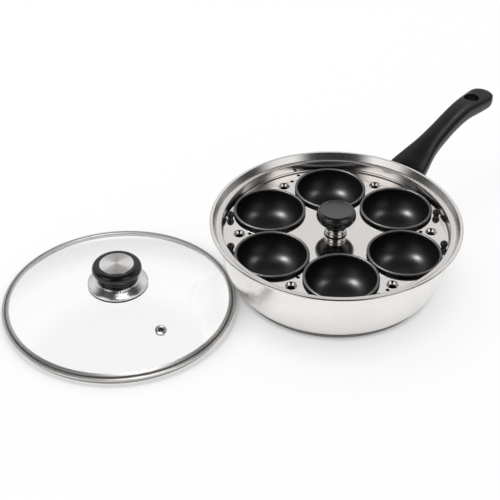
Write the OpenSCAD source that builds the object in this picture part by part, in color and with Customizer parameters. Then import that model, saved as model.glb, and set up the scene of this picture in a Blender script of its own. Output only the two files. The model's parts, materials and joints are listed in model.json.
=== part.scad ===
// Egg poacher pan with a lift-out rack of six cups and a glass lid beside it.
// Origin: centre of the pan's base, on the surface. +Z is up, the handle leaves along +X.

/* [Pan] */
// Outer radius of the wall just below the ledge
wall_r = 117; // [110:0.5:140]
// How far the rolled rim reaches out beyond the wall
rim_over = 10; // [9:0.1:14]
// Height of the rim above the surface
pan_h = 70; // [66:0.5:90]
// Thickness of the pan's sheet steel
pan_wall = 1; // [0.8:0.1:1.2]
// How far the belly swells out from the flat floor to the wall
belly_w = 19; // [15:0.5:36]
// Radius of the rolled bead on the rim
bead_r = 1.4; // [1:0.1:1.8]
// Depth of the ledge that carries the rack, below the rim
ledge_depth = 6.3; // [5.5:0.1:8]
// Width of the ledge
ledge_w = 2.8; // [2.4:0.1:3.4]

/* [Base] */
// Height of the sandwich base
base_t = 5; // [4:0.1:7]
// Thickness of the steel cap round the base
cap_t = 0.7; // [0.5:0.1:1]
// How far the base cap stands out beyond the flat floor
base_out = 1.5; // [0:0.1:2.5]
// Width of the chamfer round the foot of the base
base_chamfer = 1; // [0.6:0.1:1.6]

/* [Handle] */
// Length of the handle from the pan's wall
handle_len = 177; // [160:1:195]
// Half width of the handle at its slimmest
grip_w = 10.8; // [9:0.1:12]
// Height of the handle's crowned top above its side edges
crown_h = 4.3; // [2:0.1:5]
// Radius of the hanging hole
hang_r = 8.3; // [5:0.1:8.8]
// Distance from the tip to the hanging hole's axis
hang_back = 36; // [30:0.5:42]
// Width of the steel tongue inside the handle
tongue_w = 16; // [10:0.5:18]
// Thickness of the tongue
tongue_t = 2.5; // [1.5:0.1:3]
// Length of the tongue outside the wall
tongue_l = 22; // [20:0.5:24]
// Radius of the handle screw's shank
handle_screw_r = 2.4; // [1.5:0.1:2.6]

/* [Rack] */
// Thickness of the rack's sheet steel
rack_t = 0.8; // [0.6:0.1:1]
// Gap between the rack's wall and the pan's wall
rack_gap = 0.7; // [0.5:0.1:1]
// Depth of the rack's floor below its flange
rack_depth = 11; // [8:0.5:12.5]
// Angle of the first gap between cups, from the handle
rack_turn = -50; // [-180:1:180]
// Number of cups
cup_count = 6; // [6:1:6]
// Radius of the big countersunk steam vents over their flare
vent_r = 5.9; // [4:0.1:6.5]
// Radius of a vent's hole
vent_hole_r = 2.7; // [1.5:0.1:3]
// Distance of the vents from the rack's wall
vent_edge = 17.5; // [15:0.5:19.5]
// Radius of the small steam holes
pin_hole_r = 1.8; // [1:0.1:2]
// Radius of the domed nuts on the rack
nut_r = 3.9; // [3.3:0.1:4.1]
// Distance of the rack's legs from its wall
leg_edge = 5.3; // [4.9:0.1:5.7]
// Angle of a leg from the middle of the gap that it stands in
leg_angle = 14.3; // [12:0.1:14.5]
// Radius of a leg
leg_r = 1.5; // [1.3:0.1:1.7]
// How far a leg reaches below the cups
leg_clear = 1; // [0.4:0.1:1.4]

/* [Cups] */
// Gap between two cups' lips
cup_space = 0.8; // [0.6:0.1:3.2]
// Gap between a cup's lip and the rack's wall
cup_edge = 1.8; // [1.4:0.1:2]
// Depth of a cup inside
cup_depth = 25; // [20:0.5:25.5]
// Thickness of a cup's wall
cup_wall = 1.2; // [1:0.1:1.5]
// Height of the lip above the rack
lip_h = 4; // [3:0.1:4.4]
// Width of the rolled lip
lip_w = 3; // [2.6:0.1:3.4]
// Radius of the cup's flat bottom
cup_flat = 12; // [8:0.5:16]
// Gap between a cup and its hole
cup_gap = 0.4; // [0.3:0.1:0.6]
// Play between a cup's lip and the rack that it rests on
cup_seat = 0.04; // [0.02:0.01:0.1]

/* [Rack knob] */
// Radius of the rack's knob
rack_knob_r = 19.9; // [17:0.1:22]
// Height of the knob's top above the rack
rack_knob_h = 29; // [27:0.5:34]
// Radius of the knob's steel ferrule
ferrule_r = 11; // [10.5:0.1:12]
// Height of the ferrule
ferrule_h = 8; // [6:0.5:9]

/* [Lid] */
// How far the lid's rim reaches out beyond its skirt
lid_over = 3.3; // [2.9:0.1:3.5]
// Height of the skirt that hangs inside the rack
skirt_h = 5; // [3:0.1:6]
// Gap between the skirt and the rack's wall
skirt_gap = 1; // [0.8:0.1:1.3]
// Thickness of the rim's sheet steel
rim_t = 0.8; // [0.6:0.1:0.9]
// Thickness of the glass
glass_t = 3.2; // [3:0.1:4]
// Rise of the dome from the glass's edge to its top
dome_h = 21.5; // [15:0.5:28]
// Distance of the steam vent from the glass's edge
lid_vent_edge = 36.3; // [22:0.1:56]
// Direction of the lid's steam vent from the lid's axis
lid_vent_turn = -104; // [-180:1:180]
// Radius of the vent's eyelet over its flange
eyelet_r = 5.8; // [5.2:0.1:7]
// Radius of the hole through the eyelet
eyelet_hole_r = 2.6; // [1.5:0.1:3]
// How far the lid's rim lies under the pan's rim, seen from above
lid_tuck = 21.3; // [-15:0.1:22]
// Direction from the pan's axis to the lid's axis
lid_turn = 142; // [130:1:150]

/* [Lid knob] */
// Outer radius of the knob's steel skirt
lid_skirt_r = 30; // [26:0.5:34]
// Height of the knob's steel skirt
lid_skirt_h = 6; // [4.5:0.5:8]
// Outer radius of the knob
lid_knob_r = 24.5; // [22.5:0.5:27]
// Height of the knob's black body
lid_knob_h = 17.5; // [16:0.5:22]
// Radius of the steel inlay
inlay_r = 17; // [14:0.5:18]

/* [Hidden] */

$fn = 96;
eps = 0.01;
arc_n = 10;
gap_turn = 360 / cup_count;

// The pan's sheet is one drawing in three nodes, which meet at these heights
ledge_z = pan_h - ledge_depth;
wall_z = 30;
rim_z = ledge_z - pan_wall;

rim_r = wall_r + rim_over;
floor_r = wall_r - belly_w;
wall_in = wall_r - pan_wall;
ledge_r = wall_in + ledge_w;
wall_top = ledge_z - pan_wall - 0.6;
flare_z = pan_h - bead_r - 0.3;
flare_r = rim_r - 4.6;

handle_tip = wall_r + handle_len;

rack_z = ledge_z + rack_t;
rack_out = wall_in - rack_gap;
rack_in = rack_out - rack_t;
rack_floor = rack_z - rack_depth;
rack_edge = ledge_r - 0.5;
rack_foot = 2.5;
vent_pitch = rack_in - vent_edge;
leg_pitch = rack_in - leg_edge;

// Six cups in a ring stand as far apart as each stands from the rack's axis
cup_r = (rack_in - cup_edge - cup_space) / 3;
cup_pitch = rack_in - cup_edge - cup_r;

cup_top = rack_floor + lip_h;
cup_in = cup_r - lip_w;
cup_out = cup_in + cup_wall;
cup_hole = cup_out + cup_gap;
cup_bottom = cup_top - cup_depth - cup_wall;
leg_z = cup_bottom - leg_clear;

bore_gap = 0.1;
screw_r = 2.4;
screw_bore = screw_r + bore_gap;
washer_t = 0.8;
seal_t = 1;
head_h = 2.6;
head_r = 4.3;

tongue_z = ledge_z - pan_wall - tongue_t - 1.2;
tongue_slack = 0.3;
pad_t = 1.2;
pad_side = 4;
pad_drop = 6;
handle_screw_x = wall_r + tongue_l - 7;

lid_skirt_out = rack_in - skirt_gap;
lid_r = lid_skirt_out + lid_over;
lid_away = rim_r + lid_r - lid_tuck;
glass_r = lid_skirt_out - rim_t - 0.9;
glass_edge = skirt_h + 2.5;
glass_R = (glass_r * glass_r + dome_h * dome_h) / (2 * dome_h);
glass_top = glass_edge + dome_h;
lid_vent_pitch = glass_r - lid_vent_edge;
lid_seat = glass_top - 1;
lid_knob_z = lid_seat + 1.4 + lid_skirt_h;
vent_tilt = asin(lid_vent_pitch / glass_R);

// Height of the glass's upper and lower surface at a distance from the lid's axis
function glass_z(r) = glass_top - glass_R + sqrt(glass_R * glass_R - r * r);
function glass_low_z(r) = glass_top - glass_R + sqrt(pow(glass_R - glass_t, 2) - r * r);

// Points of an elliptical arc round c, from angle a to angle b
function arc(c, rx, ry, a, b, n = arc_n) =
    [for (i = [0:n]) let (t = a + (b - a) * i / n) [c[0] + rx * cos(t), c[1] + ry * sin(t)]];

function unit(v) = v / norm(v);
function left(v) = [-v[1], v[0]];

// The normal of a path at point i, lengthened so that both walls keep their thickness
function mitre(p, i) =
    let (
        a = unit(p[max(i, 1)] - p[max(i, 1) - 1]),
        b = unit(p[min(i + 1, len(p) - 1)] - p[min(i, len(p) - 2)]),
        m = unit(left(a) + left(b))
    )
    m / max(m * left(b), 0.3);

// A sheet of thickness t on the left of a path
function sheet(p, t) = concat(
    p,
    [for (k = [0:len(p) - 1]) let (i = len(p) - 1 - k) let (q = p[i] + t * mitre(p, i)) [max(q[0], 0), q[1]]]
);

module turned(points) {
    rotate_extrude() polygon(points);
}

module around(count, radius, start = 0) {
    for (i = [0:count - 1]) {
        rotate(start + i * 360 / count) translate([radius, 0, 0]) children();
    }
}

// Pan

module pan_sheet() {
    belly = arc([floor_r, wall_top], wall_r - floor_r, wall_top - base_t, -90, 0, 20);
    outside = concat(
        [[0, base_t]],
        belly,
        [
            [wall_r + 0.2, ledge_z - pan_wall - 0.1],
            [wall_r + 0.9, ledge_z - pan_wall],
            [ledge_r + 0.4, ledge_z - pan_wall],
            [ledge_r + 1.2, ledge_z - pan_wall + 0.5],
            [flare_r + 0.5, flare_z - 1.4],
            [flare_r + 1.2, flare_z - 0.7],
            [rim_r - bead_r, flare_z - 0.2]
        ]
    );
    rotate_extrude() {
        polygon(sheet(outside, pan_wall));
        translate([rim_r - bead_r, pan_h - bead_r]) circle(bead_r, $fn = 32);
    }
}

module pan_between(low, high) {
    color("gainsboro") intersection() {
        pan_sheet();
        translate([0, 0, low]) cylinder(r = rim_r + 1, h = high - low);
    }
}

module pan_body() { pan_between(0, wall_z); }
module pan_wall() { pan_between(wall_z, rim_z); }
module pan_rim() { pan_between(rim_z, pan_h + 1); }

cap_r = floor_r + base_out;
base_groove = 0.8;

module base_core() {
    color("lightgray") translate([0, 0, cap_t]) cylinder(r = cap_r - cap_t, h = base_t - cap_t);
}

module base_cap() {
    color("silver") difference() {
        turned([
            [0, 0],
            [cap_r - base_chamfer, 0],
            [cap_r, base_chamfer],
            [cap_r, base_t - base_groove],
            [cap_r - base_groove, base_t],
            [0, base_t]
        ]);
        translate([0, 0, cap_t]) {
            cylinder(r = cap_r - cap_t, h = base_t);
        }
    }
}

// Handle

// Rows of the handle's design: share of its length from the wall, height of the side edge
// above the rim, half width over the grip's, and depth of the side below the edge
handle_rows = [
    [0.00, -11.0, 2.20, 25.0],
    [0.07, -4.0, 1.91, 21.5],
    [0.16, 0.9, 1.64, 19.5],
    [0.30, 8.4, 1.17, 16.5],
    [0.43, 14.0, 1.02, 15.8],
    [0.57, 19.2, 1.00, 15.4],
    [0.70, 21.6, 1.06, 15.8],
    [0.82, 19.9, 1.21, 15.8],
    [0.91, 18.3, 1.28, 15.6],
    [1.00, 17.4, 1.36, 14.0]
];

// Half of a section, from its crown to its keel: share of the half width, and share of the
// crown's height above the edge or of the side's depth below it
handle_half = [
    [0, 1], [0.36, 0.93], [0.68, 0.7], [0.9, 0.34], [1, 0], [1.02, -0.25],
    [1, -0.55], [0.93, -0.8], [0.76, -0.95], [0.45, -1], [0, -1]
];

// Value of column c at share s, on a smooth curve through the rows
function row_at(s, i = 0) = i >= len(handle_rows) - 2 || s <= handle_rows[i + 1][0] ? i : row_at(s, i + 1);
function slope_at(i, c) =
    let (a = handle_rows[max(i - 1, 0)], b = handle_rows[min(i + 1, len(handle_rows) - 1)])
    (b[c] - a[c]) / (b[0] - a[0]);
function handle_at(s, c) =
    let (
        i = row_at(s),
        a = handle_rows[i],
        b = handle_rows[i + 1],
        d = b[0] - a[0],
        t = (s - a[0]) / d
    )
    (2 * t * t * t - 3 * t * t + 1) * a[c] + (t * t * t - 2 * t * t + t) * d * slope_at(i, c)
    + (3 * t * t - 2 * t * t * t) * b[c] + (t * t * t - t * t) * d * slope_at(i + 1, c);

handle_start = wall_r - 2;
handle_l = handle_tip - handle_start;
nose_share = 0.917;
handle_steps = 30;
nose_steps = 12;
section_n = 2 * len(handle_half) - 2;

// Share by which the rounded nose draws the section in
function nose(s) = s <= nose_share ? 1 : sqrt(max(1 - pow((s - nose_share) / (1 - nose_share), 2), 0.0016));

function handle_shares() = concat(
    [for (i = [0:handle_steps]) nose_share * i / handle_steps],
    [for (i = [1:nose_steps]) nose_share + (1 - nose_share) * sin(90 * i / nose_steps)]
);

// One section, as a ring of points: down its right side and up its left one
function handle_section(s) =
    let (
        w = grip_w * handle_at(s, 2) * nose(s),
        pull = 0.35 + 0.65 * nose(s),
        edge = pan_h + handle_at(s, 1),
        side = handle_at(s, 3),
        mid = edge - side * 0.45
    )
    [for (k = [0:section_n - 1])
        let (
            right = k < len(handle_half),
            half = handle_half[right ? k : section_n - k],
            z = edge + half[1] * (half[1] > 0 ? crown_h : side)
        )
        [handle_start + handle_l * s, (right ? 1 : -1) * w * half[0], mid + (z - mid) * pull]
    ];

module handle_form() {
    shares = handle_shares();
    rings = len(shares);
    points = [for (s = shares) each handle_section(s)];
    sides = [
        for (j = [0:rings - 2])
            for (k = [0:section_n - 1])
                let (a = j * section_n + k, b = j * section_n + (k + 1) % section_n)
                each [[a, a + section_n, b], [b, a + section_n, b + section_n]]
    ];
    root_face = [for (k = [0:section_n - 1]) k];
    tip_face = [for (k = [0:section_n - 1]) rings * section_n - 1 - k];
    polyhedron(points, concat(sides, [root_face], [tip_face]), convexity = 4);
}

module handle() {
    hang_x = handle_tip - hang_back;
    color("#1c1c1e") difference() {
        handle_form();
        cylinder(r = wall_r + tongue_slack, h = pan_h);
        translate([0, 0, rim_z - 0.4]) cylinder(r = rim_r + 0.5, h = pan_h);
        bracket_pad(tongue_slack);
        translate([wall_r, -tongue_w / 2 - tongue_slack, tongue_z - tongue_slack])
            cube([tongue_l + tongue_slack, tongue_w + 2 * tongue_slack, tongue_t + 2 * tongue_slack]);
        translate([hang_x, 0, 0]) cylinder(r = hang_r, h = pan_h * 2);
        translate([handle_screw_x, 0, 0]) {
            cylinder(r = handle_screw_r + bore_gap, h = tongue_z + tongue_t + 4);
            cylinder(r = head_r + 0.5, h = tongue_z - 2);
        }
    }
}

// The pad that is welded to the wall, grown by a slack for its recess in the handle
module bracket_pad(slack = 0) {
    half = tongue_w / 2 + pad_side + slack;
    intersection() {
        difference() {
            cylinder(r = wall_r + pad_t + slack, h = pan_h);
            cylinder(r = wall_r, h = pan_h);
        }
        translate([0, -half, tongue_z - pad_drop - slack])
            cube([rim_r, 2 * half, pad_drop + tongue_t + 0.1 + 2 * slack]);
    }
}

module handle_bracket() {
    color("silver") difference() {
        union() {
            bracket_pad();
            translate([wall_r + pad_t / 2, -tongue_w / 2, tongue_z])
                cube([tongue_l - pad_t / 2, tongue_w, tongue_t]);
        }
        translate([handle_screw_x, 0, 0]) cylinder(r = handle_screw_r + bore_gap, h = pan_h);
    }
}

module handle_screw() {
    color("silver") translate([handle_screw_x, 0, 0]) {
        translate([0, 0, tongue_z - 2 - head_h + 0.6]) cylinder(r = head_r, h = head_h - 0.6);
        translate([0, 0, tongue_z - 2 - eps]) cylinder(r = handle_screw_r, h = tongue_t + 5);
    }
}

// Rack

vent_depth = 3.4;

// The small steam holes: gap number, angle from the gap's middle, distance from the wall
small_holes = [
    [0, 0, 28],
    [2, -7, 13.5],
    [2, -13, 5.5],
    [3, 0, 28],
    [4, 0, 32],
    [4, -14, 7],
    [5, -5, 13],
    [5, -11, 10.5]
];

module at_legs() {
    for (side = [0, 180], swing = [-leg_angle, leg_angle]) {
        rotate(rack_turn + side + swing) translate([leg_pitch, 0, 0]) children();
    }
}

// A hole through the rack's floor
module through_rack(radius) {
    translate([0, 0, rack_floor - rack_t - 1]) cylinder(r = radius, h = rack_t + 2);
}

// The rack's sheet is one pressing in two nodes: this floor, and the wall round it
module rack_tray() {
    color("lightgray") {
        difference() {
            translate([0, 0, rack_floor - rack_t]) cylinder(r = rack_in - rack_foot, h = rack_t);
            around(cup_count, cup_pitch, rack_turn + gap_turn / 2) through_rack(cup_hole);
            around(cup_count, vent_pitch, rack_turn) through_rack(vent_r - 0.5);
            for (hole = small_holes) {
                rotate(rack_turn + hole[0] * gap_turn + hole[1])
                    translate([rack_in - hole[2], 0, 0]) through_rack(pin_hole_r, $fn = 32);
            }
            at_legs() through_rack(leg_r + bore_gap);
            through_rack(screw_bore);
        }
        around(cup_count, vent_pitch, rack_turn) steam_vent();
    }
}

module rack_wall() {
    lip = 1.2;
    // The sheet lies on the left of the path, which runs inward, so it lies below it
    top = concat(
        [[rack_edge, rack_z]],
        arc([rack_in + lip, rack_z - lip], lip, lip, 90, 180, 5),
        arc([rack_in - rack_foot, rack_floor + rack_foot], rack_foot, rack_foot, 0, -90, 6)
    );
    color("lightgray") turned(sheet(top, rack_t));
}

module steam_vent() {
    translate([0, 0, rack_floor]) turned([
        [vent_r, 0],
        [vent_r - 1.2, -0.35],
        [vent_hole_r, -vent_depth],
        [vent_hole_r, -vent_depth - 0.5],
        [vent_hole_r + 0.6, -vent_depth - 0.5],
        [vent_r, -rack_t]
    ]);
}

module rack_legs() {
    color("silver") at_legs() translate([0, 0, leg_z]) {
        translate([0, 0, leg_r]) cylinder(r = leg_r, h = rack_floor + 2.2 - leg_z - leg_r);
        translate([0, 0, leg_r]) intersection() {
            sphere(leg_r, $fn = 32);
            translate([-leg_r, -leg_r, -leg_r]) cube([2 * leg_r, 2 * leg_r, leg_r]);
        }
    }
}

module leg_cap_nuts() {
    neck = 1.4;
    color("#17171a") at_legs() translate([0, 0, rack_floor]) difference() {
        union() {
            cylinder(r = nut_r * 0.72, h = neck + 0.6);
            intersection() {
                translate([0, 0, nut_r + 0.6]) sphere(nut_r, $fn = 48);
                translate([-nut_r, -nut_r, neck]) cube([2 * nut_r, 2 * nut_r, 2 * nut_r]);
            }
        }
        translate([0, 0, -eps]) cylinder(r = leg_r + bore_gap, h = 2.3 + eps);
    }
}

// Rack knob

gasket_t = 1;
ferrule_z = rack_floor + gasket_t;
knob_z = ferrule_z + ferrule_h;
knob_top = rack_floor + rack_knob_h;

module rack_knob_gasket() {
    color("#101012") translate([0, 0, rack_floor]) difference() {
        cylinder(r = ferrule_r + 0.5, h = gasket_t);
        translate([0, 0, -1]) cylinder(r = screw_bore, h = gasket_t + 2);
    }
}

module rack_knob_ferrule() {
    color("gainsboro") difference() {
        turned(concat(
            [[0, ferrule_z], [ferrule_r - 0.4, ferrule_z], [ferrule_r, ferrule_z + 0.4]],
            [[ferrule_r, ferrule_z + 1.2]],
            arc([ferrule_r, ferrule_z + ferrule_h / 2], 1.3, ferrule_h / 2 - 1.2, -90, -270, 8),
            [[ferrule_r - 0.3, knob_z - 0.4], [ferrule_r - 0.7, knob_z], [0, knob_z]]
        ));
        translate([0, 0, ferrule_z - 1]) cylinder(r = screw_bore, h = ferrule_h + 2);
    }
}

module rack_knob() {
    cap_h = knob_top - knob_z;
    widest = knob_z + cap_h * 0.63;
    rise = knob_top - widest - 0.5;
    neck = ferrule_r - 2;
    color("#1b1b1d") difference() {
        turned(concat(
            [[0, knob_z], [neck, knob_z]],
            arc([neck + 0.5, knob_z + cap_h * 0.14], 0.9, cap_h * 0.14, 225, 180, 3),
            arc([neck, widest], rack_knob_r - neck, cap_h * 0.42, -72, 0, 9),
            arc([rack_knob_r - 4, widest], 4, rise, 10, 80, 6),
            [[rack_knob_r - 4.4, knob_top - 0.1], [rack_knob_r - 5.4, knob_top - 0.5]],
            [[rack_knob_r / 2, knob_top - 1], [0, knob_top - 1.1]]
        ));
        translate([0, 0, knob_z - 1]) cylinder(r = screw_bore, h = cap_h * 0.5 + 1);
    }
}

module rack_knob_washer() {
    color("silver") translate([0, 0, rack_floor - rack_t - washer_t]) difference() {
        cylinder(r = head_r + 2.5, h = washer_t);
        translate([0, 0, -1]) cylinder(r = screw_bore, h = washer_t + 2);
    }
}

module rack_knob_screw() {
    head_z = rack_floor - rack_t - washer_t - head_h;
    color("silver") {
        translate([0, 0, head_z]) cylinder(r = head_r, h = head_h);
        translate([0, 0, head_z + head_h - eps]) cylinder(r = screw_r, h = knob_z + 5 - head_z - head_h);
    }
}

// Cups

module cup() {
    lip_foot = 0.5;
    bowl_z = cup_top - lip_w / 2;
    floor_z = cup_top - cup_depth;
    color("#202022") turned(concat(
        [[0, floor_z]],
        arc([cup_flat, bowl_z], cup_in - cup_flat, bowl_z - floor_z, -90, 0, 18),
        arc([cup_r - lip_w / 2, bowl_z], lip_w / 2, lip_w / 2, 170, 0, 8),
        [[cup_r, rack_floor + lip_foot], [cup_r - lip_foot, rack_floor + cup_seat], [cup_out, rack_floor + cup_seat]],
        arc([cup_flat, rack_floor], cup_out - cup_flat, rack_floor - cup_bottom, 0, -90, 18),
        [[0, cup_bottom]]
    ));
}

module cup_at(i) {
    rotate(rack_turn + (i - 0.5) * gap_turn) translate([cup_pitch, 0, 0]) cup();
}

module cup_1() { cup_at(1); }
module cup_2() { cup_at(2); }
module cup_3() { cup_at(3); }
module cup_4() { cup_at(4); }
module cup_5() { cup_at(5); }
module cup_6() { cup_at(6); }

// Lid, drawn round its own axis and then laid beside the pan

module beside_pan() {
    rotate(lid_turn) translate([lid_away, 0, 0]) rotate(-lid_turn) children();
}

module on_vent() {
    rotate(lid_vent_turn) translate([0, 0, glass_top - glass_R])
        rotate([0, vent_tilt, 0]) translate([0, 0, glass_R]) children();
}

module lid_glass() {
    color("#cfe0e4", 0.4) beside_pan() difference() {
        intersection() {
            translate([0, 0, glass_top - glass_R]) sphere(glass_R, $fn = 360);
            cylinder(r = glass_r, h = glass_top + 1);
        }
        translate([0, 0, glass_top - glass_R]) sphere(glass_R - glass_t, $fn = 360);
        cylinder(r = screw_bore + 0.5, h = glass_top + 1);
        on_vent() translate([0, 0, -10]) cylinder(r = eyelet_hole_r + 1, h = 20);
    }
}

module lid_rim() {
    // The inner edges of the channel that holds the glass, and the rim's outer fold
    hold = glass_r - 2.4;
    out = lid_skirt_out;
    fold = 1;
    top_in = glass_z(hold) + 0.06;
    low_in = glass_low_z(hold) - 0.06;
    top_out = glass_z(glass_r) + 0.1;
    low_out = glass_low_z(glass_r) - 0.06;
    shell = glass_r + 0.15;
    color("silver") beside_pan() turned(concat(
        [[out - rim_t, 0], [out, 0], [out, skirt_h], [lid_r - fold, skirt_h]],
        arc([lid_r - fold, skirt_h + fold], fold, fold, -70, 80, 7),
        [
            [out + 0.3, skirt_h + 2.7],
            [out - 0.1, skirt_h + 2.2],
            [shell + 0.5, skirt_h + 2.3],
            [shell + 0.2, top_out + rim_t],
            [hold + 0.2, top_in + rim_t],
            [hold, top_in + rim_t * 0.6],
            [hold, top_in],
            [shell, top_out],
            [shell, low_out],
            [hold, low_in],
            [hold, low_in - rim_t],
            [out - rim_t, low_out - rim_t - 0.3]
        ]
    ));
}

module lid_vent_eyelet() {
    tube = eyelet_hole_r + 0.9;
    color("silver") beside_pan() on_vent() turned([
        [eyelet_hole_r, -glass_t - 1],
        [tube + 1.6, -glass_t - 1],
        [tube + 1.6, -glass_t - 0.2],
        [tube, -glass_t - 0.2],
        [tube, 0.2],
        [eyelet_r, 0.2],
        [eyelet_r, 0.7],
        [eyelet_r - 0.9, 1.4],
        [tube, 1.5],
        [eyelet_hole_r, 0.9]
    ]);
}

module lid_knob_gasket() {
    inner = lid_skirt_r - 5;
    color("#18181a") beside_pan() turned([
        [inner, glass_z(inner) + 0.05],
        [lid_skirt_r - 0.3, glass_z(lid_skirt_r - 0.3) + 0.05],
        [lid_skirt_r - 0.1, glass_z(lid_skirt_r) + 0.5],
        [lid_skirt_r - 0.3, lid_seat + 1.4],
        [inner, lid_seat + 1.4]
    ]);
}

module lid_knob_skirt() {
    seat = lid_seat + 1.4;
    shoulder = lid_knob_r - 4;
    outside = concat(
        [[lid_skirt_r - 0.4, seat], [lid_skirt_r, seat + 0.8]],
        arc([lid_skirt_r - 5, seat + 1.2], 5, 2.6, 0, 70, 6),
        [[shoulder + 0.8, lid_knob_z - 1.2], [shoulder + 0.2, lid_knob_z], [screw_bore, lid_knob_z]]
    );
    color("gainsboro") beside_pan() turned(sheet(outside, 0.9));
}

module lid_knob() {
    foot = lid_knob_r - 4.5;
    shelf = lid_knob_z + lid_knob_h - 1.3;
    top = lid_knob_z + lid_knob_h;
    wide = lid_knob_z + lid_knob_h * 0.69;
    groove = 0.7;
    color("#1a1a1c") beside_pan() difference() {
        turned(concat(
            [[0, lid_knob_z], [foot, lid_knob_z], [foot, lid_knob_z + 2.2]],
            [[foot - groove, lid_knob_z + 2.4], [foot - groove, lid_knob_z + 3.2], [foot, lid_knob_z + 3.4]],
            [[foot, lid_knob_z + 5.4], [foot - groove, lid_knob_z + 5.6], [foot - groove, lid_knob_z + 6.4]],
            [[foot + 0.6, lid_knob_z + 7.2]],
            arc([lid_knob_r - 3.4, wide], 3.4, 3.6, -45, 0, 5),
            arc([lid_knob_r - 5, wide], 5, top - wide, 8, 72, 8),
            [[inlay_r + 1.2, top], [inlay_r + 0.15, top - 0.5], [inlay_r + 0.15, shelf], [0, shelf]]
        ));
        translate([0, 0, lid_knob_z - 1]) cylinder(r = screw_bore, h = lid_knob_h * 0.7);
    }
}

module lid_knob_inlay() {
    shelf = lid_knob_z + lid_knob_h - 1.3;
    color("gainsboro") beside_pan() translate([0, 0, shelf]) turned([
        [0, 0],
        [inlay_r, 0],
        [inlay_r, 1.2],
        [inlay_r - 0.5, 1.6],
        [inlay_r * 0.5, 2.1],
        [0, 2.3]
    ]);
}

// The seal's underside: it fits under the glass, which falls away a little to its edge
seal_r = head_r + 4;
seal_z = glass_low_z(seal_r) - 0.02 - seal_t;

module lid_washer_seal() {
    color("#f2f2f0") beside_pan() translate([0, 0, seal_z]) difference() {
        cylinder(r = seal_r, h = seal_t);
        translate([0, 0, -1]) cylinder(r = screw_bore, h = seal_t + 2);
    }
}

module lid_washer() {
    color("silver") beside_pan() translate([0, 0, seal_z - washer_t]) difference() {
        cylinder(r = seal_r - 1, h = washer_t);
        translate([0, 0, -1]) cylinder(r = screw_bore, h = washer_t + 2);
    }
}

module lid_screw() {
    head_z = seal_z - washer_t - head_h;
    color("silver") beside_pan() {
        translate([0, 0, head_z]) cylinder(r = head_r, h = head_h);
        translate([0, 0, head_z + head_h - eps])
            cylinder(r = screw_r, h = lid_knob_z + lid_knob_h * 0.6 - head_z - head_h);
    }
}

pan_body();
pan_wall();
pan_rim();
base_core();
base_cap();
handle_bracket();
handle();
handle_screw();
rack_tray();
rack_wall();
rack_legs();
leg_cap_nuts();
rack_knob();
rack_knob_ferrule();
rack_knob_gasket();
rack_knob_screw();
rack_knob_washer();
cup_1();
cup_2();
cup_3();
cup_4();
cup_5();
cup_6();
lid_glass();
lid_rim();
lid_vent_eyelet();
lid_knob();
lid_knob_inlay();
lid_knob_skirt();
lid_knob_gasket();
lid_screw();
lid_washer();
lid_washer_seal();
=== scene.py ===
# %% [markdown]
# An egg poacher pan on a pale studio floor: a steel pan with a curved black handle, a steel
# rack with six black cups, and its glass lid lying beside it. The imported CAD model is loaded
# first and stays as it is. It says where everything goes, in metres, with the origin under
# the middle of the pan, Z up and the handle along +X. The visible parts are then modelled
# again, finer than the CAD needs them, and every surface gets its own finish.

# %% Load the frame
import json
import math

import bmesh
import bpy
from mathutils import Euler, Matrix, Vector


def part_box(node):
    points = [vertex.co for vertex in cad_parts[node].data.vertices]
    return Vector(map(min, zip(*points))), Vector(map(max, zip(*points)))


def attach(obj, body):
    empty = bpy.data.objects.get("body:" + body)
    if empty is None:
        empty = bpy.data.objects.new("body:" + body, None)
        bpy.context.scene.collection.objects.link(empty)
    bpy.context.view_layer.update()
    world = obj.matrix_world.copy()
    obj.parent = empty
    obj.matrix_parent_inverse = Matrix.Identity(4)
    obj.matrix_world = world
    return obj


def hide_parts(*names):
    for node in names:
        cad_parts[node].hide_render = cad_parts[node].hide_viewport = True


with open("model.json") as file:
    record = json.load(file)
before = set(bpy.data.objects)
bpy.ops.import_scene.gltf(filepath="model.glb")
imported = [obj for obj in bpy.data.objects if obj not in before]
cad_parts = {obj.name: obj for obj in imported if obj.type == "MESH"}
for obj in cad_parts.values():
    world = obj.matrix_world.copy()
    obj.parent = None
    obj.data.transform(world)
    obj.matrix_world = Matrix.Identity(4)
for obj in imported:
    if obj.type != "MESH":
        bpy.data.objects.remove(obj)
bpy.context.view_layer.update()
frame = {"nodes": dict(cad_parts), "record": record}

# %% [markdown]
# Kitchenware is drawn in millimetres, and Blender works in metres. The main sizes are read
# from the CAD nodes, so the pieces that are modelled here fit the ones that stay.

# %% Sizes taken from the CAD nodes
MM = 0.001


def low_z(node):
    """Height of a CAD node's lowest point, in millimetres."""
    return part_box(node)[0].z / MM


def top_z(node):
    """Height of a CAD node's highest point, in millimetres."""
    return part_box(node)[1].z / MM


def half_width(node):
    """Half of a CAD node's size across the handle's direction, in millimetres."""
    low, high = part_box(node)
    return (high.y - low.y) / 2 / MM


def middle(node):
    """The middle of a CAD node's box, at height 0, in metres."""
    low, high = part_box(node)
    return Vector(((low.x + high.x) / 2, (low.y + high.y) / 2, 0))


RIM_R = half_width("pan_rim")
RIM_Z = top_z("pan_rim")
BASE_T = low_z("pan_body")
BASE_R = half_width("base_cap")
RACK_Z = top_z("rack_wall")
RACK_FLOOR = low_z("rack_knob_gasket")
CUP_TOP = top_z("cup_1")
CUP_BOTTOM = low_z("cup_1")
LID_R = half_width("lid_rim")
LID_AT = middle("lid_rim")
KNOB_TOP = top_z("rack_knob")
HANDLE_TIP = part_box("handle")[1].x / MM
print(f"rim radius {RIM_R:.1f} mm, height {RIM_Z:.1f} mm, lid radius {LID_R:.1f} mm")

# %% [markdown]
# Blender's operators act on whatever is selected, so each step first says what that is. In
# edit mode a test on their place picks vertices, edges or faces, as a click would by hand.

# %% Selecting
# Distance in metres within which two places count as one
NEAR = 1e-6


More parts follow.
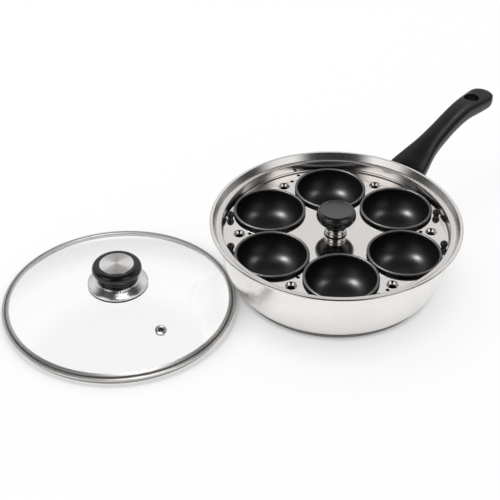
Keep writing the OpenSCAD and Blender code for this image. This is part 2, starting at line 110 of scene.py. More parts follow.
def deselect():
    """Leaves edit mode with nothing selected."""
    if bpy.context.mode != "OBJECT":
        bpy.ops.object.mode_set(mode="OBJECT")
    bpy.ops.object.select_all(action="DESELECT")


def pick(piece):
    """Makes a piece the only selected object."""
    deselect()
    piece.select_set(True)
    bpy.context.view_layer.objects.active = piece
    return piece


def select_where(piece, test, kind="verts"):
    """In edit mode, selects the vertices, edges or faces that pass a test."""
    form = bmesh.from_edit_mesh(piece.data)
    for group in (form.verts, form.edges, form.faces):
        for part in group:
            part.select = False
    for part in getattr(form, kind):
        if test(part):
            part.select = True
    form.select_flush_mode()
    bmesh.update_edit_mesh(piece.data)

# %% [markdown]
# A finished piece keeps no live modifier and no place of its own: modifiers are applied at
# once, and so is the place, which leaves the object at the origin. Smoothing by angle keeps
# real edges sharp, and weighted normals keep flat faces flat beside round ones.

# %% Modifiers, smoothing and placing
# Angle in degrees up to which two faces are smoothed, and how much large faces count
SOFT = 32
LARGE_FACES = 60


def apply_modifier(piece, kind, **settings):
    """Adds a modifier with its settings and applies it."""
    pick(piece)
    modifier = piece.modifiers.new(kind.title(), kind)
    for key, value in settings.items():
        setattr(modifier, key, value)
    bpy.ops.object.modifier_apply(modifier=modifier.name)


def smooth(piece, degrees=SOFT):
    """Smooths a piece apart from its sharp edges, with flat faces kept flat."""
    pick(piece)
    bpy.ops.object.shade_smooth_by_angle(angle=math.radians(degrees))
    apply_modifier(piece, "WEIGHTED_NORMAL", keep_sharp=True, weight=LARGE_FACES)


def settle(piece, place=(0, 0, 0), turn=(0, 0, 0)):
    """Turns and moves a piece and puts its place into its mesh."""
    pick(piece)
    piece.rotation_euler = turn
    piece.location = place
    bpy.ops.object.transform_apply(location=True, rotation=True, scale=True)
    return piece

# %% [markdown]
# Nearly every part of a pan is turned or spun from sheet, so it is round about an axis. By
# hand, such a part is drawn as half of its section and then spun. Outlines are lists of
# radius and height in millimetres. Their round stretches are arcs, and the outline of a
# sheet is a path with a second one beside it.

# %% Outlines
# Least cosine at a corner, so that the mitre of a sharp one stays short
BLUNT = 0.3


def arc(centre, radius, start, end, count):
    """Points of an arc between two angles in degrees, elliptical if given two radii."""
    wide, high = radius if isinstance(radius, tuple) else (radius, radius)
    points = []
    for i in range(count + 1):
        angle = math.radians(start + (end - start) * i / count)
        points.append((centre[0] + wide * math.cos(angle), centre[1] + high * math.sin(angle)))
    return points


def walled(path, thickness):
    """The outline of a sheet that lies on the left of a path."""
    inner = []
    last = len(path) - 1
    for i, point in enumerate(path):
        before = Vector(path[max(i, 1)]) - Vector(path[max(i - 1, 0)])
        after = Vector(path[min(i + 1, last)]) - Vector(path[min(i, last - 1)])
        left = [Vector((-d.y, d.x)).normalized() for d in (before, after)]
        mitre = (left[0] + left[1]).normalized()
        mitre /= max(mitre.dot(left[1]), BLUNT)
        inner.append((max(point[0] + thickness * mitre.x, 0), point[1] + thickness * mitre.y))
    return list(path) + inner[::-1]

# %% [markdown]
# An outline starts from one vertex of a plane and is extruded from point to point. An array
# of copies or a Screw modifier would also turn it, but Spin leaves a plain mesh that can be
# edited on. An outline with both ends away from the axis is closed first and becomes a
# ring. Spin leaves doubles where it closes and on the axis, so they are merged before the
# normals are turned outwards.

# %% Drawing and spinning
# Steps of a spin, for pieces from the widest to the smallest
WIDE, MIDDLING, NARROW, SMALL = 192, 128, 64, 48


def drawn(name, points):
    """Draws a chain of vertices through points in millimetres, and stays in edit mode."""
    deselect()
    bpy.ops.mesh.primitive_plane_add(size=1)
    piece = bpy.context.object
    piece.name = piece.data.name = name
    bpy.ops.object.mode_set(mode="EDIT")
    bpy.ops.mesh.select_mode(type="VERT")
    bpy.ops.mesh.select_all(action="SELECT")
    bpy.ops.mesh.merge(type="CENTER")
    here = Vector((0, 0, 0))
    for i, point in enumerate(points):
        there = Vector(point) * MM
        move = {"value": there - here}
        if i == 0:
            bpy.ops.transform.translate(**move)
        else:
            bpy.ops.mesh.extrude_region_move(TRANSFORM_OT_translate=move)
        here = there
    bpy.ops.mesh.select_all(action="SELECT")
    return piece


def turned(name, outline, steps=MIDDLING, closed=False):
    """Spins an outline of (radius, height) in millimetres round the Z axis."""
    piece = drawn(name, [(radius, 0, height) for radius, height in outline])
    if closed:
        ends = [Vector((r, 0, h)) * MM for r, h in (outline[0], outline[-1])]
        select_where(piece, lambda v: any((v.co - e).length < NEAR for e in ends))
        bpy.ops.mesh.edge_face_add()
    bpy.ops.mesh.select_all(action="SELECT")
    bpy.ops.mesh.spin(
        steps=steps, angle=math.tau, center=(0, 0, 0), axis=(0, 0, 1), dupli=False
    )
    bpy.ops.mesh.select_all(action="SELECT")
    bpy.ops.mesh.remove_doubles(threshold=NEAR)
    bpy.ops.mesh.select_all(action="SELECT")
    bpy.ops.mesh.normals_make_consistent(inside=False)
    deselect()
    return piece

# %% [markdown]
# What repeats is modelled once and copied. Holes are cut with a Boolean, and its cutter is
# thrown away afterwards.

# %% Joining, copying and cutting


def joined(parts):
    """Joins several objects into the first one."""
    deselect()
    for part in parts:
        part.select_set(True)
    bpy.context.view_layer.objects.active = parts[0]
    bpy.ops.object.join()
    return parts[0]


def copied(piece, name):
    """A copy of a piece with a mesh of its own."""
    pick(piece)
    bpy.ops.object.duplicate(linked=False)
    twin = bpy.context.object
    twin.name = twin.data.name = name
    return twin


def discard(piece):
    """Deletes a cutter or a pattern piece that has served."""
    pick(piece)
    bpy.ops.object.delete()


def cut(piece, cutter):
    """Cuts a piece with a Boolean and throws the cutter away."""
    apply_modifier(piece, "BOOLEAN", operation="DIFFERENCE", solver="EXACT", object=cutter)
    discard(cutter)

# %% [markdown]
# Each finished piece is hung on the empty of the body that it moves with, and the CAD nodes
# whose place it takes are hidden. Finishes are made later, so its finish is noted by name:
# the one that its slot is named after, or a finer one. Most pieces here are spun once and
# used once, so one function takes them through all steps.

# %% Keeping a finished piece
finished = []


def keep(piece, body, slot, *nodes, finish=None):
    """Hangs a finished piece on its body, hides the CAD nodes it replaces and notes its finish.
    """
    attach(piece, body)
    if nodes:
        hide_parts(*nodes)
    finished.append((piece, finish or slot))
    print(f"{piece.name}: {len(piece.data.polygons)} faces on {body}")


def round_piece(name, outline, body, slot, *nodes, place=(0, 0, 0), turn=(0, 0, 0),
                degrees=SOFT, finish=None, **spin):
    """Spins an outline, puts it in its place, smooths it and keeps it."""
    piece = settle(turned(name, outline, **spin), place, turn)
    smooth(piece, degrees)
    keep(piece, body, slot, *nodes, finish=finish)
    return piece

# %% [markdown]
# The pan is drawn from one disc of steel. Its flat floor runs into a belly, the belly into a
# short straight wall, and above that a ledge carries the rack. A flare and a rolled bead
# stiffen the rim. The outside is drawn as a path, the sheet gets its thickness on the inner
# side, and the bead is an arc at the end.

# %% The pan's shell
PAN_WALL = 1.0
BEAD_R = 1.4
FLARE_W = 10
LEDGE_W = 2.8
LEDGE_DROP = 6.3
FOOT_IN = 1.5
WALL_R = RIM_R - FLARE_W
FLOOR_R = BASE_R - FOOT_IN
LEDGE_Z = RIM_Z - LEDGE_DROP
LEDGE_R = WALL_R - PAN_WALL + LEDGE_W
UNDER_LEDGE = LEDGE_Z - PAN_WALL
BELLY_TOP = UNDER_LEDGE - 0.6
FLARE_END = (RIM_R - 2.9, RIM_Z - 2.1)
# Bends of the sheet: from the wall to the ledge, from the ledge to the flare, and at the rim
WALL_BEND, LEDGE_BEND, RIM_BEND = (0.9, 0.7), 1.2, (0.5, 0.48)

outside = [(0, BASE_T)]
outside += arc((FLOOR_R, BELLY_TOP), (WALL_R - FLOOR_R, BELLY_TOP - BASE_T), -90, 0, 28)
outside += arc((WALL_R + WALL_BEND[0], UNDER_LEDGE - WALL_BEND[1]), WALL_BEND, 180, 90, 4)[1:]
outside += arc((LEDGE_R + 1.0, UNDER_LEDGE + LEDGE_BEND), LEDGE_BEND, -90, -28, 4)
outside += [FLARE_END]
skin = walled(outside, PAN_WALL)
inner_side = skin[len(outside):]
bead = arc((RIM_R - BEAD_R, RIM_Z - BEAD_R), BEAD_R, -130, 84, 14)
bead += arc((RIM_R - 3.1, RIM_Z - RIM_BEND[0]), RIM_BEND, 88, 150, 4)

outline = outside + bead + inner_side[1:]
round_piece("pan_shell", outline, "pan", "polished_steel", "pan_body", "pan_wall", "pan_rim",
            steps=WIDE)

# %% [markdown]
# Under the pan sits a thick disc: an aluminium core in a steel cap. From the side only the
# cap's edge shows, with a fine groove above it. Its underside is turned with shallow rings,
# which keep it from sticking to a wet hob. They are part of the outline, so one spin makes
# them all.

# %% The base disc
RING_DEPTH = 0.35
RING_SLOPE = 0.8
DIMPLE_R = 14
FIRST_RING, LAST_RING, RING_STEP = 26, 86, 10
FOOT_ROUND = 1

rings = [(0, RING_DEPTH), (DIMPLE_R, RING_DEPTH), (DIMPLE_R + 0.6, 0)]
for start in range(FIRST_RING, LAST_RING + 1, RING_STEP):
    rings += [(start, 0), (start + RING_SLOPE, RING_DEPTH)]
    rings += [(start + 2 * RING_SLOPE, RING_DEPTH), (start + 3 * RING_SLOPE, 0)]
foot = arc((BASE_R - FOOT_ROUND, FOOT_ROUND), FOOT_ROUND, -90, 0, 5)
# The cap's upper edge leans in and leaves a groove under the pan
groove = [(BASE_R, BASE_T - 1.8), (BASE_R - 0.1, BASE_T - 1.7)]
groove += [(BASE_R - 1.1, BASE_T - 0.7), (BASE_R - 1.2, BASE_T)]
outline = rings + foot + groove + [(0, BASE_T)]
# Its finish carries painted shade along its foot and in the groove over it
round_piece("base_disc", outline, "pan", "polished_steel", "base_cap", finish="base_steel",
            steps=WIDE)

# %% [markdown]
# The handle is moulded, and no spin makes its curve. A few stations give its height, its
# half width and its depth, as they would be taken from a drawing. A smooth curve through
# them gives the sections in between, which lie closer together where the nose rounds off.

# %% Stations of the handle
CROWN_H = 4.3
GRIP_W = 10.8
HANDLE_START = WALL_R - 2
HANDLE_L = HANDLE_TIP - HANDLE_START
# Share of the length at which the nose starts, and the number of steps before and in it
NOSE = 0.917
GRIP_STEPS, NOSE_STEPS = 30, 10
# Share of the length, height of the side edge above the rim, half width over the grip's,
# and depth of the side below the edge
STATIONS = [
    (0.00, -11.0, 2.20, 25.0),
    (0.07, -4.0, 1.91, 21.5),
    (0.16, 0.9, 1.64, 19.5),
    (0.30, 8.4, 1.17, 16.5),
    (0.43, 14.0, 1.02, 15.8),
    (0.57, 19.2, 1.00, 15.4),
    (0.70, 21.6, 1.06, 15.8),
    (0.82, 19.9, 1.21, 15.8),
    (0.91, 18.3, 1.28, 15.6),
    (1.00, 17.4, 1.36, 14.0),
]


def slope(i, column):
    """How fast a column of the stations changes at station i."""
    before = STATIONS[max(i - 1, 0)]
    after = STATIONS[min(i + 1, len(STATIONS) - 1)]
    return (after[column] - before[column]) / (after[0] - before[0])


def station(share):
    """Edge height, half width and depth at a share of the length, on smooth curves."""
    i = 0
    while i < len(STATIONS) - 2 and share > STATIONS[i + 1][0]:
        i += 1
    first, last = STATIONS[i], STATIONS[i + 1]
    span = last[0] - first[0]
    t = (share - first[0]) / span
    found = []
    for column in (1, 2, 3):
        found.append(
            (2 * t**3 - 3 * t**2 + 1) * first[column]
            + (t**3 - 2 * t**2 + t) * span * slope(i, column)
            + (3 * t**2 - 2 * t**3) * last[column]
            + (t**3 - t**2) * span * slope(i + 1, column)
        )
    return found


shares = [NOSE * i / GRIP_STEPS for i in range(GRIP_STEPS + 1)]
for i in range(1, NOSE_STEPS):
    shares.append(NOSE + (1 - NOSE) * math.sin(math.radians(90 * i / NOSE_STEPS)))
print(f"{len(shares)} stations on {HANDLE_L:.0f} mm")

# %% [markdown]
# Half of the section, from the crown to the keel, is drawn once. Its width and height are
# shares of the station's. Towards the nose the sections get narrower like a quarter of an
# ellipse, and they shrink towards a line inside the handle, its heart.

# %% The handle's section
HALF_SECTION = [
    (0, 1), (0.36, 0.93), (0.68, 0.70), (0.90, 0.34), (1, 0), (0.91, -0.075), (0.985, -0.15),
    (1.01, -0.27), (1, -0.55), (0.93, -0.80), (0.76, -0.95), (0.45, -1), (0, -1),
]
EDGE_POINT, GROOVE_POINT = 4, 5
# Depth of the heart as a share of the section's, and height left at the nose's end
HEART = 0.45
NOSE_LOW = 0.35


def ring_at(share):
    """Place, edge height, half width, depth and crown of the section at a share."""
    edge, width, depth = station(share)
    into_nose = max(share - NOSE, 0) / (1 - NOSE)
    drawn_in = math.sqrt(1 - into_nose**2)
    pull = NOSE_LOW + (1 - NOSE_LOW) * drawn_in
    heart = RIM_Z + edge - depth * HEART
    height = heart + depth * HEART * pull
    x = HANDLE_START + HANDLE_L * share
    return x, height, GRIP_W * width * drawn_in, depth * pull, CROWN_H * pull


def in_ring(centre, side=0):
    """A test for the vertices of one section: all, or those below or above its side edge."""

    def test(v):
        here = abs(v.co.x - centre.x) < NEAR
        return here and (side == 0 or (v.co.z - centre.z) * side > NEAR)

    return test

# %% [markdown]
# The section is extruded from station to station. Each new one is scaled in width, and then
# below and above its side edge. The top meets the side in a sharp line with a fine groove
# under it, so the places of both are noted.

# %% Extruding the handle
x, edge_z, half, depth, crown = ring_at(0)
section = [
    (x, half * across, edge_z + up * (crown if up > 0 else depth)) for across, up in HALF_SECTION
]
handle_grip = drawn("handle_grip", section)
sharp_points = [Vector(section[k]) * MM for k in (EDGE_POINT, GROOVE_POINT)]
groove_across, groove_up = HALF_SECTION[GROOVE_POINT]
for share in shares[1:]:
    before = (x, edge_z, half, depth, crown)
    x, edge_z, half, depth, crown = ring_at(share)
    centre = Vector((x, 0, edge_z)) * MM
    move = {"value": ((x - before[0]) * MM, 0, (edge_z - before[1]) * MM)}
    bpy.ops.mesh.extrude_region_move(TRANSFORM_OT_translate=move)
    bpy.ops.transform.resize(value=(1, half / before[2], 1), center_override=centre)
    for side, growth in ((-1, depth / before[3]), (1, crown / before[4])):
        select_where(handle_grip, in_ring(centre, side))
        bpy.ops.transform.resize(value=(1, 1, growth), center_override=centre)
    select_where(handle_grip, in_ring(centre))
    sharp_points.append(centre + Vector((0, half * MM, 0)))
    sharp_points.append(centre + Vector((0, half * groove_across, groove_up * depth)) * MM)

# %% [markdown]
# The lines along the edge and the groove get a crease, a Mirror modifier adds the other
# half, and a face closes each end. A Subdivision Surface then rounds the whole and keeps
# what is creased. A finer drawing without it would need many more points to look as smooth.

# %% Creases, the other half and the ends
CREASE = 0.85
# Least run of an edge along the handle, and distance within which a vertex is on a line
RUN = 1e-5
ON_LINE = 2e-5


def runs_on_line(edge):
    """Whether an edge runs along the handle on one of the sharp lines."""
    first, last = edge.verts
    if abs(first.co.x - last.co.x) <= RUN:
        return False
    return all(any((v.co - p).length < ON_LINE for p in sharp_points) for v in (first, last))


select_where(handle_grip, runs_on_line, "edges")
bpy.ops.transform.edge_crease(value=CREASE)
apply_modifier(handle_grip, "MIRROR", use_axis=(False, True, False), merge_threshold=RUN)
bpy.ops.object.mode_set(mode="EDIT")
for end in (HANDLE_START, x):
    select_where(handle_grip, in_ring(Vector((end, 0, 0)) * MM))
    bpy.ops.mesh.edge_face_add()
bpy.ops.mesh.select_all(action="SELECT")
bpy.ops.mesh.normals_make_consistent(inside=False)
apply_modifier(handle_grip, "SUBSURF", levels=2, render_levels=2)
print(f"handle_grip: {len(handle_grip.data.polygons)} faces")

# %% [markdown]
# The hanging hole and the root are cut with Booleans. The hole's cutter is turned, wide at
# both ends, so that the hole gets a rounded edge. The root's cutter has the shape of the
# pan's outside, so the handle ends on the wall and closes up to the rim.

# %% The hanging hole and the handle's root
HANG_R = 8.3
HANG_BACK = 36
# Heights at which the hole's straight part starts and ends, and those of the cutter's ends
STRAIGHT_LOW, STRAIGHT_TOP = 78, 91.6
CUTTER_LOW, CUTTER_TOP = 60, 110
# Rounding of both edges: radius over the hole's, and height beyond the straight part
LOW_EDGE = [(1.5, 4), (0.7, 3), (0.2, 1.6)]
TOP_EDGE = [(0.1, 1.2), (0.45, 2.4), (1.0, 3.4), (2.1, 4.4)]

hole = [(0, CUTTER_LOW), (HANG_R + LOW_EDGE[0][0], CUTTER_LOW)]
hole += [(HANG_R + out, STRAIGHT_LOW - down) for out, down in LOW_EDGE]
hole += [(HANG_R, STRAIGHT_LOW), (HANG_R, STRAIGHT_TOP)]
hole += [(HANG_R + out, STRAIGHT_TOP + up) for out, up in TOP_EDGE]
hole += [(HANG_R + TOP_EDGE[-1][0], CUTTER_TOP), (0, CUTTER_TOP)]
hole_cutter = turned("hole_cutter", hole, steps=NARROW)
settle(hole_cutter, ((HANDLE_TIP - HANG_BACK) * MM, 0, 0))
cut(handle_grip, hole_cutter)

# The root stays clear of the wall, of the ledge and of the rim
ROOT_R = WALL_R + 0.3
ROOT_TOP = UNDER_LEDGE - 0.4
RIM_CLEAR = RIM_R + 0.5
ROOT_CUTTER_TOP = 90
root = [(0, 0), (ROOT_R, 0), (ROOT_R, ROOT_TOP), (RIM_CLEAR, ROOT_TOP)]
root += [(RIM_CLEAR, ROOT_CUTTER_TOP), (0, ROOT_CUTTER_TOP)]
cut(handle_grip, turned("root_cutter", root, steps=WIDE))
smooth(handle_grip, 40)
keep(handle_grip, "pan", "black_handle", "handle")

# %% [markdown]
# Six cups hang in the rack, with a gap between each two of them. In every gap lies a steam
# vent, and the wire legs stand to both sides of two opposite gaps. So all places on the
# rack are given by a radius and an angle from its first gap.

# %% Places on the rack
CUPS = 6
SIXTH = 360 / CUPS
FIRST_GAP = -50
RACK_T = 0.8
RACK_SLACK = 1.5
RACK_IN = WALL_R - PAN_WALL - RACK_SLACK
CUP_R = 37.3
CUP_GAP = 1.8
# Distance of the vents and of the legs from the wall, and the legs' angle from their gap
VENT_IN, LEG_IN = 17.5, 5.3
LEG_SWING = 14.3
CUP_PITCH = RACK_IN - CUP_GAP - CUP_R
VENT_PITCH = RACK_IN - VENT_IN
LEG_PITCH = RACK_IN - LEG_IN

gap_turns = [FIRST_GAP + SIXTH * i for i in range(CUPS)]
cup_turns = [turn + SIXTH / 2 for turn in gap_turns]
leg_turns = [gap_turns[gap] + swing for gap in (0, 3) for swing in (-LEG_SWING, LEG_SWING)]


def polar(radius, degrees, height=0.0):
    """A place at a radius and an angle round the pan's axis, given in millimetres."""
    angle = math.radians(degrees)
    return Vector((radius * math.cos(angle), radius * math.sin(angle), height)) * MM


print(f"cups {CUP_PITCH:.1f} mm from the axis, vents {VENT_PITCH:.1f} mm")

# %% [markdown]
# The rack is one pressing: a flat plate with a wall and a flange round it. The plate is
# turned as a sheet, and its holes are cut with one Boolean. All cutters are joined first,
# because one cut with many holes is quicker and cleaner than many cuts.

# %% The rack's plate
PLATE_BEND = 2.5
FLANGE_BEND = 1.2
FLANGE_IN = 0.5
# Radius and corners of each kind of hole
CUP_HOLE = (35.9, 128)
VENT_HOLE = (6.4, 48)
SMALL_HOLE = (2.0, 32)
LEG_HOLE = (1.6, 24)
SCREW_HOLE = (2.5, 32)
CUTTER_H = 6
# Gap between two cups, angle from the gap's middle, and distance from the wall
SMALL_HOLES = [
    (0, 0, 28), (2, -7, 13.5), (2, -13, 5.5), (3, 0, 28),
    (4, 0, 32), (4, -14, 7), (5, -5, 13), (5, -11, 10.5),
]

sheet_top = [(0, RACK_FLOOR)]
sheet_top += arc((RACK_IN - PLATE_BEND, RACK_FLOOR + PLATE_BEND), PLATE_BEND, -90, 0, 8)
sheet_top += arc((RACK_IN + FLANGE_BEND, RACK_Z - FLANGE_BEND), FLANGE_BEND, 180, 90, 6)
sheet_top += [(LEDGE_R - FLANGE_IN, RACK_Z)]
rack_plate = turned("rack_plate", walled(sheet_top, -RACK_T), steps=WIDE)

holes = [(CUP_PITCH, turn, *CUP_HOLE) for turn in cup_turns]
holes += [(VENT_PITCH, turn, *VENT_HOLE) for turn in gap_turns]
holes += [(RACK_IN - off, gap_turns[gap] + swing, *SMALL_HOLE) for gap, swing, off in SMALL_HOLES]
holes += [(LEG_PITCH, turn, *LEG_HOLE) for turn in leg_turns]
holes += [(0, 0, *SCREW_HOLE)]
cutters = []
for radius, turn, size, corners in holes:
    deselect()
    at = polar(radius, turn, RACK_FLOOR)
    bpy.ops.mesh.primitive_cylinder_add(
        vertices=corners, radius=size * MM, depth=CUTTER_H * MM, location=at
    )
    cutters.append(bpy.context.object)
cut(rack_plate, joined(cutters))
print(f"{len(holes)} holes in the plate")

# %% [markdown]
# Six large holes are countersunk: the sheet is drawn down into small funnels, which let the
# steam through. One funnel is turned and copied to every gap between the cups, and the
# copies are joined to the plate, since they are the same sheet.

# %% Countersunk vents
VENT_R = VENT_HOLE[0]
THROAT_R = 3.45
FUNNEL_H = 3.3
slope_top = [(VENT_R, 0), (VENT_R - 0.35, -0.04), (VENT_R - 0.8, -0.3)]
slope_top += [(THROAT_R + 0.45, -2.2), (THROAT_R + 0.05, 0.4 - FUNNEL_H), (THROAT_R, -FUNNEL_H)]
slope_under = [(THROAT_R + 0.55, -FUNNEL_H), (THROAT_R + 0.95, 0.7 - FUNNEL_H)]
slope_under += [(VENT_R - 0.6, -1.2), (VENT_R, -RACK_T)]
funnel = turned("funnel", slope_top + slope_under, steps=SMALL, closed=True)
funnels = [rack_plate]
for turn in gap_turns:
    one = copied(funnel, "vent")
    funnels.append(settle(one, polar(VENT_PITCH, turn, RACK_FLOOR)))
joined(funnels)
discard(funnel)
smooth(rack_plate)
keep(rack_plate, "rack", "rack_steel", "rack_tray", "rack_wall")

# %% [markdown]
# The four domed nuts hold the rack's wire legs from above. Each is a collar with a ball on
# it and a hole for the wire's end from below, turned once and copied.

# %% Domed nuts over the legs
NUT_R = 3.9
NUT_HOLE_H = 2.3
COLLAR_R, COLLAR_H = 2.8, 1.7
WIRE_R = LEG_HOLE[0]
nut_outline = [(0, NUT_HOLE_H), (WIRE_R, NUT_HOLE_H), (WIRE_R, 0)]
nut_outline += [(COLLAR_R - 0.1, 0), (COLLAR_R, 0.15), (COLLAR_R, COLLAR_H)]
nut_outline += arc((0, NUT_R + 0.6), NUT_R, -44, 90, 14)
nut = turned("nut", nut_outline, steps=SMALL)
smooth(nut)
for i, turn in enumerate(leg_turns, 1):
    leg_nut = settle(copied(nut, f"leg_nut_{i}"), polar(LEG_PITCH, turn, RACK_FLOOR))
    keep(leg_nut, "rack", "black_gloss", "leg_cap_nuts")
discard(nut)

# %% [markdown]
# The cups hang in the rack by their lips. A cup is drawn as the outline of a thin bowl with
# a lip that is rolled outwards and back under itself, where it rests on the plate.

# %% The cups
LIP = 1.5
CUP_WALL = 1.2
CUP_IN = CUP_R - 2 * LIP
CUP_OUT = CUP_IN + CUP_WALL
CUP_FLAT = 12
CUP_DEEP = CUP_BOTTOM + CUP_WALL
BOWL_Z = CUP_TOP - LIP
# Gap between two pieces that touch
HAIR = 0.05
REST_Z = RACK_FLOOR + HAIR

bowl = [(0, CUP_DEEP)]
bowl += arc((CUP_FLAT, BOWL_Z), (CUP_IN - CUP_FLAT, BOWL_Z - CUP_DEEP), -90, -4, 26)
bowl += arc((CUP_R - LIP, BOWL_Z), LIP, 172, -52, 20)
bowl += [(CUP_R - 1.3, REST_Z + 0.3), (CUP_R - 1.6, REST_Z), (CUP_OUT + 0.1, REST_Z)]
bowl += arc((CUP_FLAT, RACK_FLOOR), (CUP_OUT - CUP_FLAT, RACK_FLOOR - CUP_BOTTOM), -2, -90, 24)
bowl += [(0, CUP_BOTTOM)]
cup = turned("cup", bowl)
smooth(cup)
for i, turn in enumerate(cup_turns, 1):
    egg_cup = settle(copied(cup, f"egg_cup_{i}"), polar(CUP_PITCH, turn))
    keep(egg_cup, f"cup_{i}", "non_stick", f"cup_{i}")
discard(cup)

# %% [markdown]
# The rack is lifted by a mushroom knob. It stands on a polished ferrule, and a thin dark
# gasket lies between the ferrule and the plate.

# %% The rack's knob
BORE = SCREW_HOLE[0]
FERRULE_R = 11
FERRULE_H = 8
GASKET_T = 1
FERRULE_Z = RACK_FLOOR + GASKET_T
KNOB_Z = FERRULE_Z + FERRULE_H
KNOB_R = 19.9
NECK_R = 9
SHOULDER_R = 4
cap_h = KNOB_TOP - KNOB_Z
# Shares of the cap's height: the rounding of its neck, its flank, and its widest place
neck_h, flank_h = cap_h * 0.14, cap_h * 0.42
widest = KNOB_Z + cap_h * 0.63

mushroom = [(0, KNOB_Z), (NECK_R, KNOB_Z)]
mushroom += arc((NECK_R + 0.5, KNOB_Z + neck_h), (0.9, neck_h), 225, 180, 4)
mushroom += arc((NECK_R, widest), (KNOB_R - NECK_R, flank_h), -72, 0, 14)
mushroom += arc((KNOB_R - SHOULDER_R, widest), (SHOULDER_R, KNOB_TOP - widest - 0.5), 6, 82, 12)
mushroom += [(KNOB_R - 4.2, KNOB_TOP - 0.25), (KNOB_R - 5.2, KNOB_TOP - 0.55)]
mushroom += [(KNOB_R / 2, KNOB_TOP - 1), (0, KNOB_TOP - 1.1)]
round_piece("rack_knob_cap", mushroom, "rack", "black_gloss", "rack_knob")

spool = [(BORE, FERRULE_Z), (FERRULE_R - 0.5, FERRULE_Z)]
spool += arc((FERRULE_R - 0.5, FERRULE_Z + 0.5), 0.5, -80, 0, 4)
spool += arc((FERRULE_R, FERRULE_Z + FERRULE_H / 2), (1.3, 2.8), -90, -270, 14)
spool += arc((FERRULE_R - 0.7, KNOB_Z - 0.7), 0.7, 0, 90, 4) + [(BORE, KNOB_Z)]
round_piece("ferrule", spool, "rack", "chrome_trim", "rack_knob_ferrule", degrees=45,
            closed=True)

foot_ring = [(BORE, RACK_FLOOR), (FERRULE_R + 0.4, RACK_FLOOR)]
foot_ring += arc((FERRULE_R + 0.1, RACK_FLOOR + GASKET_T / 2), (0.4, 0.5), -90, 90, 6)
foot_ring += [(BORE, FERRULE_Z)]
round_piece("foot_gasket", foot_ring, "rack", "black_rubber", "rack_knob_gasket", closed=True)

# %% [markdown]
# The lid is a shallow dome of tempered glass, about 3 mm thick, in a folded steel rim. Clear
# glass has to be a closed shell with a real thickness, or it would not bend the light that
# goes through it. The outline follows a sphere outside and a second one inside.

# %% The lid's glass
SKIRT_OUT = LID_R - 3.3
GLASS_R = SKIRT_OUT - 1.7
GLASS_T = 3.2
GLASS_EDGE = 7.5
DOME = 21.5
EDGE_ROUND = 0.6
SCREW_R = 3.0
DOME_STEPS = 22
GLASS_TOP = GLASS_EDGE + DOME
SPHERE_R = (GLASS_R**2 + DOME**2) / (2 * DOME)


def dome_z(radius, under=0.0):
    """Height of the dome at a radius, on its outside or a depth under it."""
    return GLASS_TOP - SPHERE_R + math.sqrt((SPHERE_R - under) ** 2 - radius**2)


flat_r = GLASS_R - EDGE_ROUND
radii = [SCREW_R + (flat_r - SCREW_R) * i / DOME_STEPS for i in range(DOME_STEPS + 1)]
pane = [(r, dome_z(r)) for r in radii]
pane += arc((flat_r, dome_z(flat_r) - EDGE_ROUND), EDGE_ROUND, 70, 0, 3)
pane += arc((flat_r, dome_z(flat_r, GLASS_T) + EDGE_ROUND), EDGE_ROUND, 0, -90, 3)
pane += [(r, dome_z(r, GLASS_T)) for r in radii[:-1][::-1]]
lid_pane = turned("lid_pane", pane, steps=WIDE, closed=True)

# %% [markdown]
# Steam leaves through a hole between the knob and the lid's edge. It is drilled square to
# the dome, so its cutter points at the middle of the sphere.

# %% The steam hole
STEAM_R = 3.6
STEAM_IN = 36.3
STEAM_TURN = math.radians(-104)
STEAM_TILT = math.asin((GLASS_R - STEAM_IN) / SPHERE_R)
DRILL_H = 16
axis = Vector((math.sin(STEAM_TILT), 0, math.cos(STEAM_TILT))) * SPHERE_R * MM
axis.rotate(Euler((0, 0, STEAM_TURN)))
STEAM_AT = axis + Vector((0, 0, GLASS_TOP - SPHERE_R)) * MM
tilted = (0, STEAM_TILT, STEAM_TURN)
deselect()
bpy.ops.mesh.primitive_cylinder_add(
    vertices=SMALL, radius=STEAM_R * MM, depth=DRILL_H * MM, location=STEAM_AT, rotation=tilted
)
cut(lid_pane, bpy.context.object)
settle(lid_pane, LID_AT)
smooth(lid_pane, 40)
keep(lid_pane, "lid", "clear_glass", "lid_glass")

# %% [markdown]
# The rim is one strip of steel that is folded round the glass. It goes up as a skirt that
# hangs inside the rack, turns out into a rolled shoulder that rests on the rack's flange,
# and ends in a channel that holds the glass from above and below.

# %% The lid's steel rim
SKIRT_H = 5
RIM_T = 0.8
SEAL = 0.06
# Radii of the channel's mouth and of its outer wall, and heights of the glass at both
hold, shell = GLASS_R - 2.4, GLASS_R + 0.15
top_in, top_out = dome_z(hold) + SEAL, dome_z(GLASS_R) + 0.1
low_in, low_out = dome_z(hold, GLASS_T) - SEAL, dome_z(GLASS_R, GLASS_T) - SEAL

# The skirt, and the rolled shoulder that it turns into
fold = [(SKIRT_OUT - RIM_T, 0), (SKIRT_OUT, 0), (SKIRT_OUT, SKIRT_H - 0.4)]
fold += [(SKIRT_OUT + 0.4, SKIRT_H), (LID_R - 1, SKIRT_H)]
fold += arc((LID_R - 1, SKIRT_H + 1), 1, -70, 90, 10)
# The fold inside the shoulder, up to the channel
fold += [(SKIRT_OUT + 1.4, SKIRT_H + 2.3), (SKIRT_OUT + 0.6, SKIRT_H + 2.1)]
fold += [(SKIRT_OUT + 0.2, SKIRT_H + 1.6), (SKIRT_OUT - 0.05, SKIRT_H + 0.9)]
fold += [(SKIRT_OUT - 0.55, SKIRT_H + 0.9), (shell + 0.7, SKIRT_H + 1.6)]
fold += arc((shell - 0.1, top_out + 0.1), (0.75, 0.7), 0, 75, 5)
